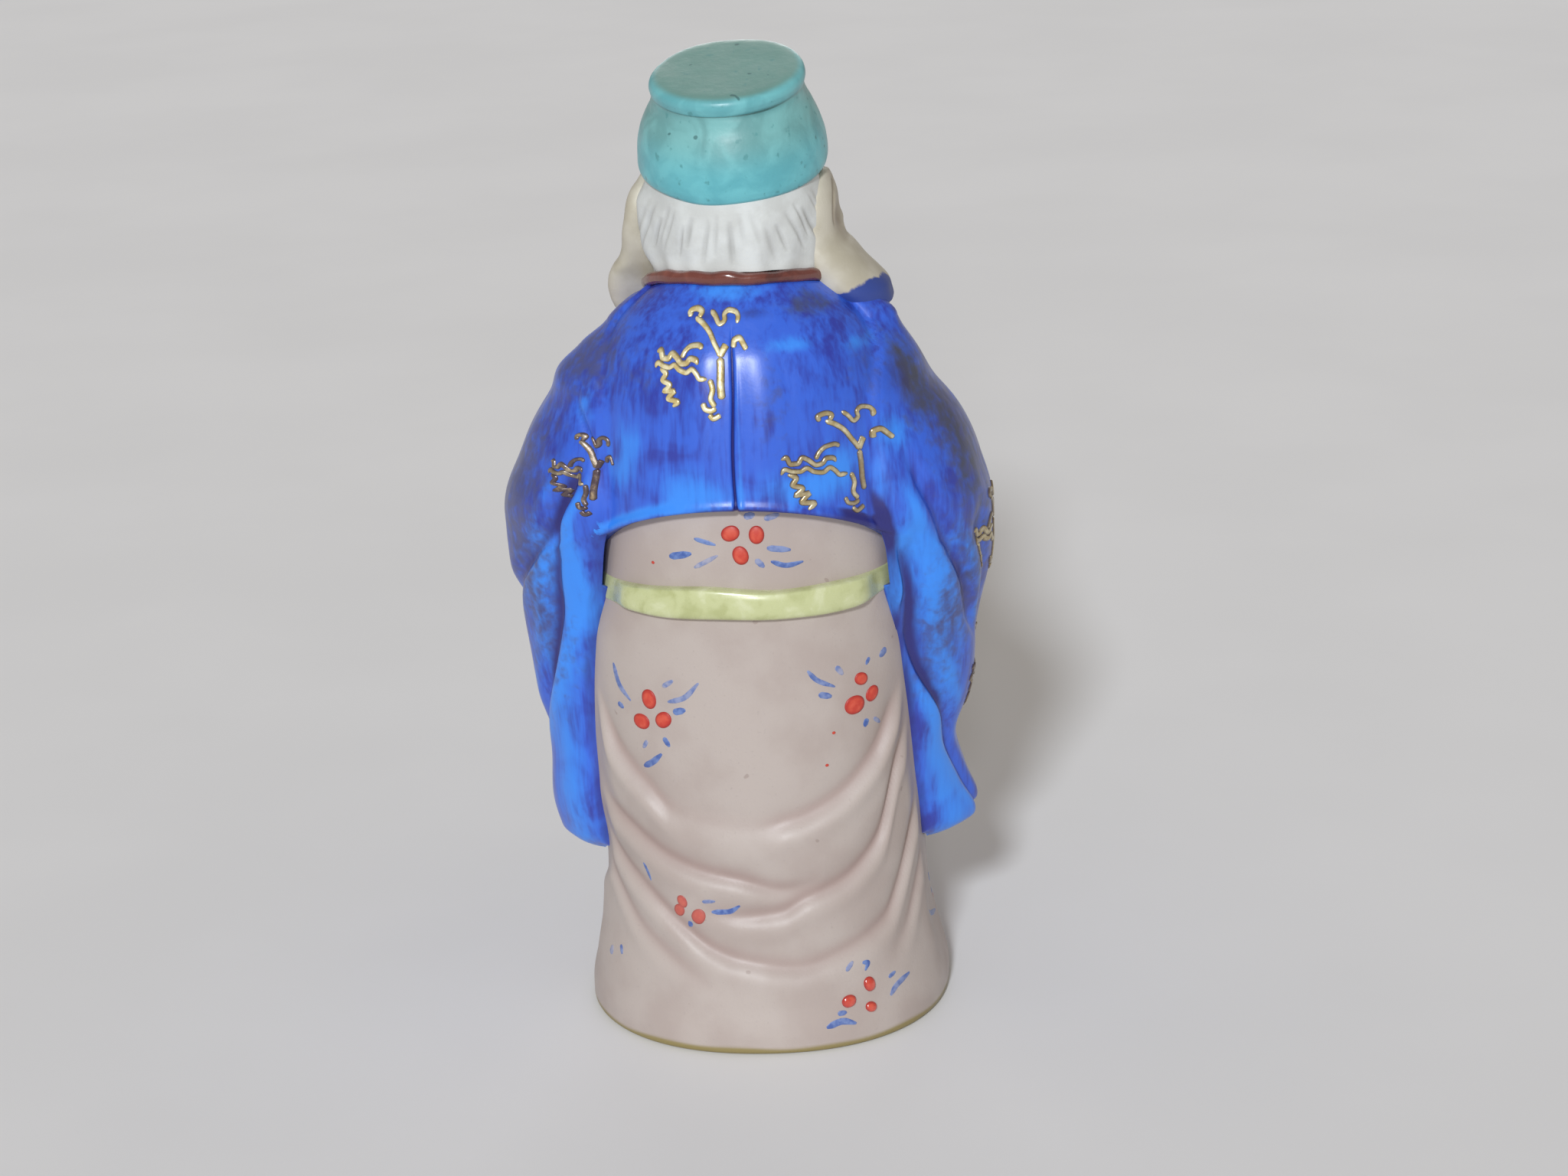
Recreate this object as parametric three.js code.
// A sage in painted bisque porcelain, cast in hollow pieces that are luted together.
// Millimetres, +Z up. The figure faces -Y and stands on its open foot.
// Angles are in degrees round the upright axis, from the middle of the back towards the figure's left.
import * as THREE from 'three';

// Driving dimensions
const JOINT_GAP = 0.3;
const CAST_WALL = 2.8;
const DEPTH_TO_WIDTH = 0.95;
const OVAL_POWER = 2.2;
const ROBE_TOP = 70;
const LEFT_HIP = 1.5;
const BELT_LOW = 54;
const BELT_HIGH = 57.4;
const BELT_THICKNESS = 1.1;
const HEM_BACK = 67.3;
const HEM_FRONT = 58.2;
const NECKLINE_BACK = 91.7;
const NECKLINE_FRONT = 83;
const NECK_RADIUS = 7.9;
const NECK_BOTTOM = 79.5;
const COLLAR_RADIUS = 11.1;
const COLLAR_HEIGHT = 1.8;
const HAIR_RADIUS = 10.3;
const HAIR_EDGE = 84;
const HAT_RIM_CENTRE = new THREE.Vector3(0.6, 0, 103.6);
const HEAD_LEAN = 0.045;
const HAT_LEAN_BACK = 13.3;
const HAT_PEG_RADIUS = 6;
const HAT_PEG_HEIGHT = 3;
const SLEEVE_LOW = 19.4;
const SLEEVE_HIGH = 86.3;
const SLEEVE_GAP = 0.4;
const THINNEST_SLEEVE = 0.6;
const LAPEL_THICKNESS = 0.8;

const sin = (angle) => Math.sin(THREE.MathUtils.degToRad(angle));
const cos = (angle) => Math.cos(THREE.MathUtils.degToRad(angle));
const { clamp, lerp, smoothstep } = THREE.MathUtils;

// A smooth bell, 1 in the middle, that has mostly gone one width away.
const bell = (value, middle, width) => Math.exp(-(((value - middle) / width) ** 2));

// A point at an angle, a distance from the axis and a height.
const at = (angle, radius, z) => new THREE.Vector3(radius * sin(angle), radius * cos(angle), z);

// An angle brought between -180 and 180.
const turned = (angle) => angle - 360 * Math.round(angle / 360);

// A smooth curve through [place, size] pairs in rising order.
// It never overshoots, and it is level beyond both ends.
function through(pairs) {
  const last = pairs.length - 1;
  const grade = (i) => (pairs[i + 1][1] - pairs[i][1]) / (pairs[i + 1][0] - pairs[i][0]);
  const slopes = pairs.map((_, i) => {
    const before = grade(Math.max(i - 1, 0));
    const after = grade(Math.min(i, last - 1));
    return before * after > 0 ? (2 * before * after) / (before + after) : 0;
  });
  return (place) => {
    if (place <= pairs[0][0]) return pairs[0][1];
    if (place >= pairs[last][0]) return pairs[last][1];
    const i = pairs.findIndex((pair) => pair[0] > place) - 1;
    const span = pairs[i + 1][0] - pairs[i][0];
    const u = (place - pairs[i][0]) / span;
    const start = pairs[i][1] * (1 + 2 * u) * (1 - u) ** 2 + slopes[i] * span * u * (1 - u) ** 2;
    const end = pairs[i + 1][1] * u ** 2 * (3 - 2 * u) + slopes[i + 1] * span * u ** 2 * (u - 1);
    return start + end;
  };
}

// Distance from the axis to an oval of the given half-width and half-depth.
function oval(angle, halfWidth, halfDepth) {
  const across = (Math.abs(sin(angle)) / halfWidth) ** OVAL_POWER;
  const deep = (Math.abs(cos(angle)) / halfDepth) ** OVAL_POWER;
  return (across + deep) ** (-1 / OVAL_POWER);
}

// Evenly spaced shares from 0 to 1.
const shares = (count) => Array.from({ length: count + 1 }, (_, i) => i / count);

// A closed body from points and faces, with its faces turned outwards.
function body(points, faces) {
  let volume = 0;
  for (let i = 0; i < faces.length; i += 3) {
    const [a, b, c] = [points[faces[i]], points[faces[i + 1]], points[faces[i + 2]]];
    volume += a.dot(b.clone().cross(c));
  }
  const geometry = new THREE.BufferGeometry().setFromPoints(points);
  geometry.setIndex(volume < 0 ? faces.toReversed() : faces);
  return geometry;
}

const addQuad = (faces, a, b, c, d) => faces.push(a, b, c, a, c, d);

// A band closed round the axis, from its closed section at each angle.
function ring(section, around) {
  const sections = Array.from({ length: around }, (_, i) => section((360 * i) / around));
  const rows = sections[0].length;
  const faces = [];
  for (let i = 0; i < around; i += 1) {
    const here = i * rows;
    const next = ((i + 1) % around) * rows;
    for (let j = 0; j < rows; j += 1) {
      const above = (j + 1) % rows;
      addQuad(faces, here + j, here + above, next + above, next + j);
    }
  }
  return body(sections.flat(), faces);
}

// A pad between an outer and an inner face, each a point for two shares from 0 to 1.
function pad(outer, inner, acrossShares, alongShares) {
  const columns = acrossShares.length;
  const rows = alongShares.length;
  const points = [];
  for (const face of [outer, inner]) {
    for (const s of acrossShares) {
      for (const t of alongShares) points.push(face(s, t));
    }
  }
  const back = columns * rows;
  const faces = [];
  for (let i = 0; i < columns - 1; i += 1) {
    for (let j = 0; j < rows - 1; j += 1) {
      const corner = i * rows + j;
      addQuad(faces, corner, corner + 1, corner + rows + 1, corner + rows);
      addQuad(faces, back + corner, back + corner + rows, back + corner + rows + 1, back + corner + 1);
    }
    const low = i * rows;
    const high = low + rows - 1;
    addQuad(faces, low, low + rows, back + low + rows, back + low);
    addQuad(faces, high, back + high, back + high + rows, high + rows);
  }
  for (let j = 0; j < rows - 1; j += 1) {
    const end = (columns - 1) * rows + j;
    addQuad(faces, j, back + j, back + j + 1, j + 1);
    addQuad(faces, end, end + 1, back + end + 1, back + end);
  }
  return body(points, faces);
}

// A body lofted through closed loops of points, shut at both ends.
function loft(loops) {
  const sides = loops[0].length;
  const points = loops.flat();
  const faces = [];
  for (let i = 0; i < loops.length - 1; i += 1) {
    for (let j = 0; j < sides; j += 1) {
      const next = (j + 1) % sides;
      addQuad(faces, i * sides + j, i * sides + next, (i + 1) * sides + next, (i + 1) * sides + j);
    }
  }
  const middle = (loop) => loop.reduce((sum, p) => sum.add(p), new THREE.Vector3()).divideScalar(sides);
  const bottom = points.push(middle(loops[0])) - 1;
  const top = points.push(middle(loops.at(-1))) - 1;
  const lastLoop = (loops.length - 1) * sides;
  for (let j = 0; j < sides; j += 1) {
    const next = (j + 1) % sides;
    faces.push(bottom, next, j);
    faces.push(top, lastLoop + j, lastLoop + next);
  }
  return body(points, faces);
}

// A thin strip laid on a base surface along a path of [angle, height] places.
function strip(path, halfWidth, thickness, base, acrossCount, alongCount) {
  const place = (s, t) => {
    const [angle, z] = path(t);
    const [angleBefore, zBefore] = path(Math.max(t - 0.01, 0));
    const [angleAfter, zAfter] = path(Math.min(t + 0.01, 1));
    const radius = base(angle, z);
    const run = new THREE.Vector2((angleAfter - angleBefore) * (Math.PI / 180) * radius, zAfter - zBefore);
    run.normalize();
    const offset = (2 * s - 1) * halfWidth(t);
    return [angle - THREE.MathUtils.radToDeg((run.y * offset) / radius), z + run.x * offset];
  };
  const laid = (lift) => (s, t) => {
    const [angle, z] = place(s, t);
    return at(angle, base(angle, z) + lift(s, t), z);
  };
  const outer = laid((s, t) => JOINT_GAP + thickness(s, t));
  return pad(outer, laid(() => JOINT_GAP), shares(acrossCount), shares(alongCount));
}

// Robe: an upright oval tube that flares at the foot, with swags hung from hip to hip across the back
const robeHalfWidth = through([
  [0, 22.1], [2, 22.1], [6, 21.3], [12, 19.9], [18, 19.5], [40, 19.3], [54, 18.8], [63, 18.3],
  [ROBE_TOP, 17.6],
]);
const robeDepth = through([[0, 0.985], [12, 0.97], [30, DEPTH_TO_WIDTH]]);

// Each swag's valley: its lowest height, how much higher it is at 60 degrees, and where it is lowest.
const SWAGS = [
  { sag: 10.5, rise: 8.3, power: 2, middle: -9, roll: 0.9 },
  { sag: 16.4, rise: 7.3, power: 2.5, middle: 0, roll: 1.1 },
  { sag: 20.8, rise: 8.8, power: 2, middle: -5, roll: 1.0 },
  { sag: 28.2, rise: 12.8, power: 2.2, middle: -2, roll: 1.3 },
];
const SWAG_FADE = [58, 78];
const ROLL_LEAN = 1.7;
const LOWEST_ROLL_LEAN = 2.4;
const FRONT_PLEATS = 7;
const FRONT_PLEAT_DEPTH = 0.6;
const FRONT_PLEAT_FADE = [100, 135];
const FRONT_PLEAT_RISE = [10, 50];
const FOOT_ROUND = 0.7;

function swagHeight(swag, angle) {
  const reach = clamp(angle, -SWAG_FADE[1], SWAG_FADE[1]) - swag.middle;
  return swag.sag + swag.rise * (Math.abs(reach) / 60) ** swag.power;
}

// Heights that split the robe at one angle: foot, the swag valleys, top.
const robeLines = (angle) => [0, ...SWAGS.map((swag) => swagHeight(swag, angle)), ROBE_TOP];

// Each roll of cloth swells slowly from the valley below it and turns in sharply at the one above.
function robeSwag(angle, z) {
  const lines = robeLines(angle);
  const i = Math.min(lines.findIndex((line) => line > z), SWAGS.length + 1) - 1;
  if (i < 0 || i >= SWAGS.length) return 0;
  const share = (z - lines[i]) / (lines[i + 1] - lines[i]);
  const fade = 1 - smoothstep(Math.abs(angle), ...SWAG_FADE);
  return SWAGS[i].roll * fade * Math.sin(Math.PI * share ** (i === 0 ? LOWEST_ROLL_LEAN : ROLL_LEAN));
}

function robePleat(angle, z) {
  const front = smoothstep(Math.abs(angle), ...FRONT_PLEAT_FADE);
  const wave = 0.5 - 0.5 * cos((180 - Math.abs(angle)) * FRONT_PLEATS);
  return -FRONT_PLEAT_DEPTH * front * wave * (1 - smoothstep(z, ...FRONT_PLEAT_RISE));
}

// The left hip is fuller than the right, from the lowest swags up to the belt.
const HIP_RISE = [20, 30];
const HIP_FADE = [48, 58];

function leftHip(angle, z) {
  const height = smoothstep(z, ...HIP_RISE) * (1 - smoothstep(z, ...HIP_FADE));
  return LEFT_HIP * height * bell(angle, 80, 34);
}

function robeRadius(anyAngle, z) {
  const angle = turned(anyAngle);
  const halfWidth = robeHalfWidth(z);
  const plain = oval(angle, halfWidth, halfWidth * robeDepth(z));
  return plain + leftHip(angle, z) + robeSwag(angle, z) + robePleat(angle, z);
}

function makeRobe() {
  const footHeights = [0, FOOT_ROUND, 3 * FOOT_ROUND];
  const lowestShares = [0.3, 0.5, 0.68, 0.8, 0.93];
  const rollShares = [0, 0.3, 0.55, 0.72, 0.88];
  const bibShares = [0, 0.03, 0.25, 0.45, 0.62, 0.8, 1];
  const wallHeights = [ROBE_TOP, 45, 20, 5, 0];
  const section = (anyAngle) => {
    const angle = turned(anyAngle);
    const lines = robeLines(angle);
    const lowest = lowestShares.map((share) => Math.max(share * lines[1], 4 * FOOT_ROUND));
    const heights = [...footHeights, ...lowest];
    for (let i = 1; i < SWAGS.length; i += 1) {
      heights.push(...rollShares.map((share) => lerp(lines[i], lines[i + 1], share)));
    }
    heights.push(...bibShares.map((share) => lerp(lines[SWAGS.length], ROBE_TOP, share)));
    const outer = heights.map((z, i) => at(angle, robeRadius(angle, z) - (i === 0 ? FOOT_ROUND : 0), z));
    const inner = wallHeights.map((z) => {
      const halfWidth = robeHalfWidth(z) - CAST_WALL;
      return at(angle, oval(angle, halfWidth, halfWidth * robeDepth(z)), z);
    });
    return [...outer, ...inner];
  };
  return ring(section, 44);
}

// Belt: a flat band with eased edges
const beltRadius = (angle) => robeRadius(angle, (BELT_LOW + BELT_HIGH) / 2) + JOINT_GAP + BELT_THICKNESS;

function makeBelt() {
  const ease = 0.45;
  const section = (angle) => {
    const outside = beltRadius(angle);
    const inside = (z) => robeRadius(angle, z) + JOINT_GAP;
    return [
      at(angle, inside(BELT_LOW), BELT_LOW),
      at(angle, outside - ease, BELT_LOW),
      at(angle, outside, BELT_LOW + ease),
      at(angle, outside, BELT_HIGH - ease),
      at(angle, outside - ease, BELT_HIGH),
      at(angle, inside(BELT_HIGH), BELT_HIGH),
    ];
  };
  return ring(section, 44);
}

// Jacket: hangs from a sloping neckline to an arched hem and overlaps the top of the robe
const HEM_ARCH = 71;
const JACKET_NECK_BORE = NECK_RADIUS + JOINT_GAP;
const hemHeight = (angle) => {
  const arch = Math.max(0, 1 - (Math.abs(turned(angle)) / HEM_ARCH) ** 2.2);
  return HEM_FRONT + (HEM_BACK - HEM_FRONT) * arch;
};
const necklineHeight = (angle) => {
  const drop = ((1 - cos(angle)) / 2) ** 1.6;
  return lerp(NECKLINE_BACK, NECKLINE_FRONT, drop);
};
const jacketHalfWidth = through([
  [0, 19.8], [0.3, 19.5], [0.5, 19.3], [0.7, 18.2], [0.8, 16.9], [0.89, 15], [0.95, 12.9], [1, 10.7],
]);
const jacketHalfDepth = through([
  [0, 18.9], [0.3, 18.4], [0.5, 17.8], [0.7, 16.4], [0.85, 14], [0.94, 11.9], [1, 10.5],
]);

function jacketRadius(angle, z) {
  const low = hemHeight(angle);
  const share = clamp((z - low) / (necklineHeight(angle) - low), 0, 1);
  return oval(angle, jacketHalfWidth(share), jacketHalfDepth(share));
}

function makeJacket() {
  const outerShares = [0, 0.12, 0.3, 0.45, 0.58, 0.7, 0.79, 0.87, 0.94, 1];
  const cavityShares = [0.85, 0.6, 0.3, 0.02];
  const ledge = ROBE_TOP + JOINT_GAP;
  const section = (angle) => {
    const low = hemHeight(angle);
    const high = necklineHeight(angle);
    const outer = outerShares.map((share) => {
      const z = lerp(low, high, share);
      return at(angle, jacketRadius(angle, z), z);
    });
    const cavity = cavityShares.map((share) => {
      const z = lerp(ledge, high, share);
      const inset = jacketRadius(angle, z) - CAST_WALL;
      return at(angle, Math.max(JACKET_NECK_BORE, inset), z);
    });
    const socket = [ledge, lerp(low, ledge, 0.5), low].map((z) => {
      return at(angle, robeRadius(angle, Math.min(z, ROBE_TOP)) + JOINT_GAP, z);
    });
    return [...outer, at(angle, JACKET_NECK_BORE, high), ...cavity, ...socket];
  };
  return ring(section, 44);
}

// Collar: a rounded band standing on the neckline
function makeCollar() {
  const inside = NECK_RADIUS + JOINT_GAP;
  const section = (angle) => {
    const z = necklineHeight(angle) + JOINT_GAP;
    return [
      at(angle, inside, z),
      at(angle, COLLAR_RADIUS - 0.2, z),
      at(angle, COLLAR_RADIUS, z + 0.35 * COLLAR_HEIGHT),
      at(angle, COLLAR_RADIUS - 0.35, z + 0.85 * COLLAR_HEIGHT),
      at(angle, COLLAR_RADIUS - 1.2, z + COLLAR_HEIGHT),
      at(angle, inside, z + 0.8 * COLLAR_HEIGHT),
    ];
  };
  return ring(section, 40);
}

// Sleeves: crescents that hang from the shoulders, bulge at the elbows and meet over the hidden hands
const shoulderEdge = [[60, 55.5], [66, 50], [78, 54], [SLEEVE_HIGH, 70]];
const leftBackEdge = through([
  [SLEEVE_LOW, 72], [25, 67], [30, 65.5], [36, 67], [42, 66], [47, 64], [51, 62], [55, 59], ...shoulderEdge,
]);
const rightBackEdge = through([
  [SLEEVE_LOW, 83], [24, 80.5], [30, 75], [37, 70.5], [43, 67], [48, 64.5], [52, 60.5], [55, 57.5],
  ...shoulderEdge,
]);
const sleeveBackEdge = (side, z) => (side > 0 ? leftBackEdge(z) : rightBackEdge(z));
const sleeveFrontEdge = through([
  [SLEEVE_LOW, 136], [40, 150], [54, 163], [63, 179.1], [74, 179.1], [78, 156], [82, 127], [SLEEVE_HIGH, 104],
]);
const sleeveHalfWidth = through([
  [SLEEVE_LOW, 23.6], [20.6, 24.9], [25, 25.4], [31, 24.9], [39, 26.3], [48, 27.4], [57, 29], [62, 29.1],
  [68, 27.7], [74, 25], [80, 21.2], [SLEEVE_HIGH, 16.4],
]);
const sleeveRound = through([
  [0, 0.12], [0.05, 0.34], [0.14, 0.68], [0.26, 0.95], [0.38, 1], [0.55, 0.95], [0.75, 0.84], [0.94, 0.72],
  [1, 0.5],
]);
const forearmFull = through([[62, 1], [70, 0.85], [75, 0.55], [80, 0.4]]);

// Valleys of the pleats that fan out below the elbow: angle at each height, and depth.
const PLEATS = [
  { line: through([[20, 94], [30, 86], [40, 78], [50, 71], [60, 66]]), low: 18, high: 62, depth: 1.1 },
  { line: through([[38, 108], [47, 93], [56, 81], [66, 71]]), low: 36, high: 68, depth: 1 },
  { line: through([[24, 112], [33, 97], [40, 87], [52, 77]]), low: 22, high: 54, depth: 0.9 },
];
const PLEAT_HALF_WIDTH = 4.5;
const PLEAT_END = 7;

function sleevePleats(angle, z) {
  return PLEATS.reduce((sum, pleat) => {
    const start = smoothstep(z, pleat.low, pleat.low + PLEAT_END);
    const fade = start * (1 - smoothstep(z, pleat.high - PLEAT_END, pleat.high));
    return sum + pleat.depth * fade * bell(angle, pleat.line(z), PLEAT_HALF_WIDTH);
  }, 0);
}

// What the sleeve lies against: robe, belt or jacket, each carried a little past its edges.
// Here the angle is below 0 on the figure's right, and elsewhere in the sleeves both sides count up from 0.
function sleeveBase(angle, z) {
  const margin = 3;
  const robe = z < HEM_FRONT + margin ? robeRadius(angle, z) : 0;
  const belt = z > BELT_LOW - margin && z < BELT_HIGH + margin ? beltRadius(angle) : 0;
  const jacket = z > HEM_FRONT - margin ? jacketRadius(angle, Math.max(z, hemHeight(angle))) : 0;
  return Math.max(robe, belt, jacket) + SLEEVE_GAP;
}

// The left sleeve hangs wider than the right. The right one has the fuller shoulder and kicks out at its foot.
function sleeveWider(side, z) {
  const shoulder = smoothstep(z, 66, 82);
  if (side > 0) return lerp(1.1, -0.2, shoulder) - 0.8 * bell(z, 20, 6);
  return lerp(-0.4, 0.6, shoulder) - 0.9 * bell(z, 33, 4) + 1.7 * bell(z, 22, 3.2);
}

function sleeveAngle(side, s, z) {
  return lerp(sleeveBackEdge(side, z), sleeveFrontEdge(z), s);
}

function sleeveOuter(side, s, z) {
  const angle = sleeveAngle(side, s, z);
  const bulge = sleeveHalfWidth(z) + sleeveWider(side, z) - sleeveBase(side * 90, z);
  const full = bulge * sleeveRound(s) * lerp(1, forearmFull(z), smoothstep(s, 0.3, 0.85));
  return sleeveBase(side * angle, z) + Math.max(THINNEST_SLEEVE, full - sleevePleats(angle, z));
}

// Where the cuffs lie on the sleeves: shares of the way to the front edge, and heights.
const CUFF = { back: 0.89, front: 0.97, low: 24, high: 73.5, thickness: 0.5 };

function makeSleeve(side) {
  const heights = [
    SLEEVE_LOW, 20.4, 22, 25, 28.5, 32, 36, 40, 44, 48, 51, 54, 57.4, 60.4, 64, 68, 72, 75.5, 79, 82.5,
    SLEEVE_HIGH,
  ];
  const columns = [
    0, 0.025, 0.055, 0.09, 0.125, 0.16, 0.2, 0.25, 0.31, 0.38, 0.48, 0.6, 0.72, 0.82, CUFF.back, CUFF.front,
    1,
  ];
  const outer = (s, z) => at(side * sleeveAngle(side, s, z), sleeveOuter(side, s, z), z);
  const inner = (s, z) => {
    const angle = side * sleeveAngle(side, s, z);
    return at(angle, sleeveBase(angle, z), z);
  };
  return pad(outer, inner, columns, heights);
}

// Cuffs: flat bands on the sleeves beside their front edges
function makeCuff(side) {
  const layer = (lift) => (s, t) => {
    const z = lerp(CUFF.low, CUFF.high, t);
    const share = lerp(CUFF.back, CUFF.front, s);
    return at(side * sleeveAngle(side, share, z), sleeveOuter(side, share, z) + lift, z);
  };
  return pad(layer(JOINT_GAP + CUFF.thickness), layer(JOINT_GAP), shares(2), shares(14));
}

// Head: egg-shaped above a round neck, cut off level with the hat's rim, with a peg into the hat
const headHalfWidth = through([
  [NECK_BOTTOM, NECK_RADIUS], [90, 8], [92, 8.6], [95, 9.3], [99, 9.7], [103, 9.8], [108, 9.3],
]);
const headFront = through([
  [NECK_BOTTOM, NECK_RADIUS], [88.5, 8], [90.5, 9.4], [92, 10], [95, 10.1], [98, 10.2], [101, 10],
  [104, 10.4], [108, 10],
]);
const headBack = through([[NECK_BOTTOM, NECK_RADIUS], [94.5, 8], [97, 8.9], [100, 9.3], [108, 9.2]]);
const FACE_LOW = 86;
const FACE_RISE = 2.5;
const FACE_CLEARANCE = 0.2;
const NOSE = { low: 96.6, tip: 97.9, high: 102.5, length: 2.3, halfWidth: 9 };
const noseProfile = through([[NOSE.low, 0], [NOSE.tip, NOSE.length], [NOSE.high, 0.5], [104.5, 0]]);

function headRadius(anyAngle, z) {
  const angle = turned(anyAngle);
  const depth = Math.abs(angle) > 90 ? headFront(z) : headBack(z);
  const collarTop = necklineHeight(angle) + JOINT_GAP + COLLAR_HEIGHT;
  const aboveCollar = smoothstep(z, collarTop, collarTop + FACE_RISE);
  const skull = lerp(NECK_RADIUS, oval(angle, headHalfWidth(z), depth), aboveCollar);
  return skull + noseProfile(z) * bell(Math.abs(angle), 180, NOSE.halfWidth);
}

// The hat's own leaning frame, with its origin at the middle of the rim.
const hatFrame = new THREE.Group();
hatFrame.position.copy(HAT_RIM_CENTRE);
hatFrame.rotation.x = THREE.MathUtils.degToRad(-HAT_LEAN_BACK);
hatFrame.updateMatrix();
const hatAxis = new THREE.Vector3(0, 0, 1).applyQuaternion(hatFrame.quaternion);

// Height of the joint under the hat at a place on the head.
function hatJointHeight(angle, radius) {
  const across = at(angle, radius, 0).sub(HAT_RIM_CENTRE);
  return HAT_RIM_CENTRE.z - (JOINT_GAP + across.x * hatAxis.x + across.y * hatAxis.y) / hatAxis.z;
}

// The head leans towards the figure's left, so its points move over the more the higher they are.
const lean = (point) => point.setX(point.x + HEAD_LEAN * Math.max(0, point.z - NECKLINE_BACK));

function leaned(geometry) {
  const points = geometry.attributes.position;
  for (let i = 0; i < points.count; i += 1) {
    const point = lean(new THREE.Vector3().fromBufferAttribute(points, i));
    points.setX(i, point.x);
  }
  return geometry;
}

function makeHead() {
  const leftAngles = [20, 40, 60, 80, 96, 110, 122, 133, 143, 152, 160, 166, 171, 175.5];
  const angles = [0, ...leftAngles, 180, ...leftAngles.toReversed().map((angle) => -angle)];
  const neckHeights = [NECK_BOTTOM, FACE_LOW];
  const faceShares = [0.18, 0.3, 0.4, 0.48, 0.53, 0.57, 0.62, 0.68, 0.76, 0.87, 1];
  const loops = neckHeights.map((z) => angles.map((angle) => at(angle, headRadius(angle, z), z)));
  for (const share of faceShares) {
    loops.push(angles.map((angle) => {
      const top = hatJointHeight(angle, headRadius(angle, HAT_RIM_CENTRE.z));
      const z = lerp(FACE_LOW, top, share);
      return lean(at(angle, headRadius(angle, z), z));
    }));
  }
  for (const z of [-JOINT_GAP, HAT_PEG_HEIGHT]) {
    loops.push(angles.map((angle) => at(angle, HAT_PEG_RADIUS, z).applyMatrix4(hatFrame.matrix)));
  }
  return loft(loops);
}

// Hat: a round cap that swells above its rim and draws in below the flared disc on top
const DISC_PEG = { radius: 5, low: 7.6, high: 9.4 };

function lathe(outline) {
  const profile = outline.map(([radius, z]) => new THREE.Vector2(radius, z));
  const geometry = new THREE.LatheGeometry(profile, 30);
  return geometry.rotateX(Math.PI / 2);
}

function makeHatCrown() {
  const socket = HAT_PEG_RADIUS + JOINT_GAP;
  const socketDepth = HAT_PEG_HEIGHT + JOINT_GAP;
  return lathe([
    [0, socketDepth], [socket, socketDepth], [socket, 0],
    [10.45, 0], [10.85, 0.5], [11.03, 1.4], [10.93, 3], [10.48, 5], [9.66, 7], [9.02, 8.2], [8.72, 9],
    [8.65, DISC_PEG.high], [DISC_PEG.radius, DISC_PEG.high], [DISC_PEG.radius, DISC_PEG.low],
    [0, DISC_PEG.low],
  ]);
}

function makeHatTop() {
  const peg = DISC_PEG.radius - JOINT_GAP;
  const low = DISC_PEG.low + JOINT_GAP;
  const high = DISC_PEG.high + JOINT_GAP;
  return lathe([
    [0, low], [peg, low], [peg, high],
    [8.65, high], [8.9, 10.3], [9.02, 10.8], [9.02, 11.3], [8.75, 11.7], [8.2, 11.88], [7.4, 11.8], [0, 11.7],
  ]);
}

// Hair: a thick cap of hair over the back of the head, from under the hat down to the collar
const HAIR_CLEARANCE = 0.45;
const THINNEST_HAIR = 0.6;
const HAIR_EASE = 0.5;

function hairHeight(angle, t) {
  const low = necklineHeight(angle) + COLLAR_HEIGHT + 2 * JOINT_GAP;
  return lerp(low, hatJointHeight(angle, HAIR_RADIUS) - JOINT_GAP, t);
}

function makeHair() {
  const hairAngle = (s) => lerp(-HAIR_EDGE, HAIR_EDGE, s);
  const innerRadius = (angle, z) => headRadius(angle, z) + HAIR_CLEARANCE;
  const inner = (s, t) => {
    const angle = hairAngle(s);
    const z = hairHeight(angle, t);
    return at(angle, innerRadius(angle, z), z);
  };
  const outer = (s, t) => {
    const angle = hairAngle(s);
    const z = hairHeight(angle, t);
    const eased = HAIR_RADIUS - HAIR_EASE * smoothstep(Math.abs(2 * s - 1), 0.9, 1);
    return at(angle, Math.max(eased, innerRadius(angle, z) + THINNEST_HAIR), z);
  };
  return pad(outer, inner, shares(16), shares(4));
}

// Ears: flat above, running down into long, heavy lobes, with the left one a little fuller
const LEFT_EAR_FULLER = 0.3;
const EAR_STATIONS = [
  { x: 10.5, y: -1.8, z: 102.9, halfWidth: 0.5, halfDepth: 1 },
  { x: 10.8, y: -1.9, z: 101.5, halfWidth: 0.85, halfDepth: 2.2 },
  { x: 11.2, y: -2, z: 98.6, halfWidth: 1.1, halfDepth: 2.6 },
  { x: 11.6, y: -2.3, z: 95.2, halfWidth: 1.5, halfDepth: 2.5 },
  { x: 12.5, y: -2.9, z: 92.2, halfWidth: 2.2, halfDepth: 2.4 },
  { x: 13.6, y: -3.7, z: 89.7, halfWidth: 2.7, halfDepth: 2.5 },
  { x: 14, y: -4.4, z: 87.6, halfWidth: 2.3, halfDepth: 2.1 },
  { x: 14.2, y: -4.7, z: 86.4, halfWidth: 1, halfDepth: 1 },
];

function makeEar(side) {
  const sides = 10;
  const fuller = side > 0 ? LEFT_EAR_FULLER : 0;
  const loops = EAR_STATIONS.map((station) => Array.from({ length: sides }, (_, i) => {
    const angle = (360 * i) / sides;
    const x = station.x + fuller + (station.halfWidth + fuller) * cos(angle);
    return new THREE.Vector3(side * x, station.y + station.halfDepth * sin(angle), station.z);
  }));
  return loft(loops);
}

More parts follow.
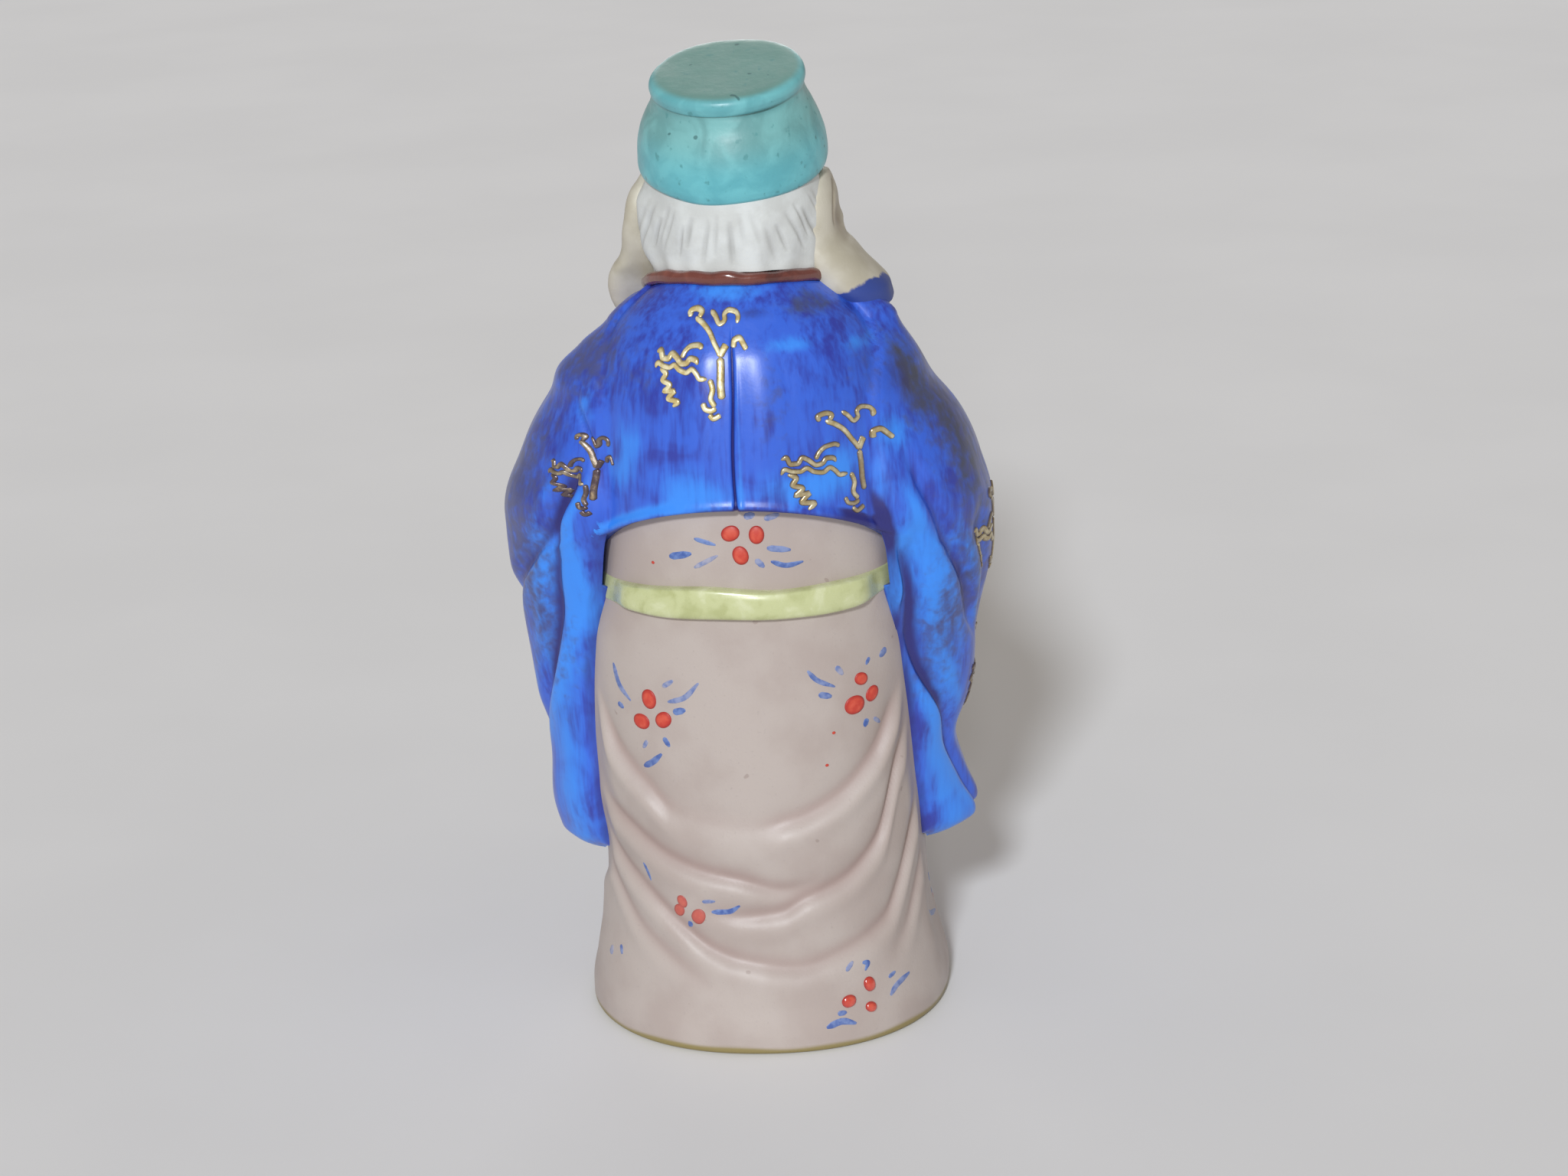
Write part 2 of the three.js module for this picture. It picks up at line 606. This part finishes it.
// Beard: from the jaw down over the chest to a point
const BEARD_SPREAD = 62;
const beardTop = through([[0, 93.4], [20, 93.8], [40, 95.6], [BEARD_SPREAD, 98.6]]);
const beardBottom = through([[0, 77.6], [8, 79], [18, 82.4], [30, 86.3], [45, 90], [BEARD_SPREAD, 95.6]]);
const beardFull = through([[0, 3.4], [18, 2.9], [40, 1.8], [BEARD_SPREAD, 0.8]]);
const chestBase = through([
  [72, 19], [76, 17.8], [79, 16.2], [82, 14], [84, 12.4], [87, 11.6], [90, 10.8], [93, 9.8],
]);

function makeBeard() {
  const columns = shares(18).map((s) => 2 * s - 1);
  const angleFrom = (s) => BEARD_SPREAD * s;
  const height = (s, t) => lerp(beardBottom(Math.abs(angleFrom(s))), beardTop(Math.abs(angleFrom(s))), t);
  const base = (s, t) => {
    const z = height(s, t);
    return Math.max(chestBase(z), headRadius(180 + angleFrom(s), z) + JOINT_GAP);
  };
  const inner = (s, t) => at(180 + angleFrom(s), base(s, t), height(s, t));
  const outer = (s, t) => {
    const round = Math.sin(Math.PI * lerp(0.09, 0.93, t)) ** 0.6;
    return at(180 + angleFrom(s), base(s, t) + beardFull(Math.abs(angleFrom(s))) * round, height(s, t));
  };
  return pad(outer, inner, columns, shares(9));
}

// A strip's thickness, rounded off towards its edges and both ends.
const rounded = (thickness) => (s, t) => {
  const across = Math.sin(Math.PI * lerp(0.12, 0.88, s));
  const along = Math.sin(Math.PI * lerp(0.08, 0.92, t)) ** 0.5;
  return thickness * across * along;
};

// What the moustache and eyebrows lie on: the face, with a little more room than a plain joint.
const faceBase = (angle, z) => headRadius(angle, z) + FACE_CLEARANCE;

function makeMoustache(side) {
  const [start, end, top, droop] = [177.6, 150, 96.2, 0.9];
  const path = (t) => [side * lerp(start, end, t), top - droop * t ** 1.5];
  const halfWidth = through([[0, 0.35], [0.35, 0.7], [1, 0.25]]);
  return strip(path, halfWidth, rounded(1), faceBase, 3, 8);
}

function makeEyebrow(side) {
  const [start, end, low, arch] = [169, 139, 103.2, 0.8];
  const path = (t) => [side * lerp(start, end, t), low + arch * Math.sin(Math.PI * lerp(0.25, 1, t))];
  const halfWidth = through([[0, 0.5], [0.4, 0.7], [1, 0.3]]);
  return strip(path, halfWidth, rounded(0.9), faceBase, 3, 7);
}

// Lapels: the collar band carried down each side of the chest to the sleeves
function makeLapel(side) {
  const [start, end, high, low] = [128, 176, 84.4, 79];
  const path = (t) => [side * lerp(start, end, t), lerp(high, low, t ** 1.2)];
  const halfWidth = () => 1;
  return strip(path, halfWidth, rounded(LAPEL_THICKNESS), jacketRadius, 3, 9);
}

// Sash: a knot on the belt and two tails down the front of the robe
function makeSashKnot() {
  const [halfSpread, low, high] = [8, BELT_LOW - 0.9, BELT_HIGH + 0.6];
  const layer = (lift) => (s, t) => {
    const angle = 180 + halfSpread * (2 * s - 1);
    return at(angle, beltRadius(angle) + JOINT_GAP + lift(s, t), lerp(low, high, t));
  };
  const hump = (share) => Math.sin(Math.PI * lerp(0.1, 0.9, share)) ** 0.7;
  const swell = (s, t) => 1.9 * hump(s) * hump(t);
  return pad(layer(swell), layer(() => 0), shares(6), shares(5));
}

function makeSashTail(side) {
  const [start, spread, wave, high, low] = [176, 9, 1.2, 52.4, 20];
  const path = (t) => [side * (start - spread * t - wave * Math.sin(2 * Math.PI * t)), lerp(high, low, t)];
  const halfWidth = (t) => lerp(1, 1.9, t);
  return strip(path, halfWidth, rounded(0.8), robeRadius, 3, 12);
}

// Shoes: the toes, showing under the hem
function makeShoe(side) {
  const [middle, halfSpread, height, length] = [163, 11.5, 4.6, 4];
  const layer = (lift) => (s, t) => {
    const angle = side * (middle + halfSpread * (2 * s - 1));
    return at(angle, robeRadius(angle, 2) + JOINT_GAP + lift(s, t), lerp(0, height, t));
  };
  const toe = (s) => Math.sin(Math.PI * lerp(0.06, 0.94, s)) ** 0.8;
  const swell = (s, t) => length * toe(s) * Math.sqrt(1 - 0.96 * t ** 2);
  return pad(layer(swell), layer(() => 0), shares(10), shares(5));
}

// Finishes
const finish = (color, roughness) => new THREE.MeshStandardMaterial({ color, roughness, metalness: 0 });
const PINK = finish('#c9b6ae', 0.6);
const BLUE = finish('#2a56c8', 0.45);
const YELLOW_GREEN = finish('#ccd29c', 0.35);
const RED_BROWN = finish('#7a3d33', 0.25);
const TURQUOISE = finish('#6fbfbd', 0.5);
const WHITE = finish('#d6d6d0', 0.65);
const IVORY = finish('#cbc3a4', 0.6);
const DARK = finish('#3a3434', 0.45);

const figure = new THREE.Group();

function add(name, geometry, material, parent = figure) {
  const mesh = new THREE.Mesh(geometry, material);
  mesh.name = name;
  parent.add(mesh);
}

add('robe_shell', makeRobe(), PINK);
add('belt_band', makeBelt(), YELLOW_GREEN);
add('jacket_shell', makeJacket(), BLUE);
add('neck_collar', makeCollar(), RED_BROWN);
add('head', makeHead(), IVORY);
add('back_hair', leaned(makeHair()), WHITE);
add('beard', leaned(makeBeard()), WHITE);
add('sash_knot', makeSashKnot(), YELLOW_GREEN);
add('hat_crown', makeHatCrown(), TURQUOISE, hatFrame);
add('hat_top_disc', makeHatTop(), TURQUOISE, hatFrame);
figure.add(hatFrame);

for (const [name, side] of [['left', 1], ['right', -1]]) {
  add(`${name}_sleeve`, makeSleeve(side), BLUE);
  add(`${name}_cuff`, makeCuff(side), RED_BROWN);
  add(`${name}_lapel`, makeLapel(side), RED_BROWN);
  add(`${name}_ear`, leaned(makeEar(side)), IVORY);
  add(`${name}_moustache`, leaned(makeMoustache(side)), WHITE);
  add(`${name}_eyebrow`, leaned(makeEyebrow(side)), WHITE);
  add(`${name}_sash_tail`, makeSashTail(side), YELLOW_GREEN);
  add(`${name}_shoe`, makeShoe(side), DARK);
}

// The origin is the middle of the figure's box, on the surface that it stands on.
const box = new THREE.Box3().setFromObject(figure);
const middle = box.getCenter(new THREE.Vector3());
figure.position.set(-middle.x, -middle.y, -box.min.z);

export default figure;
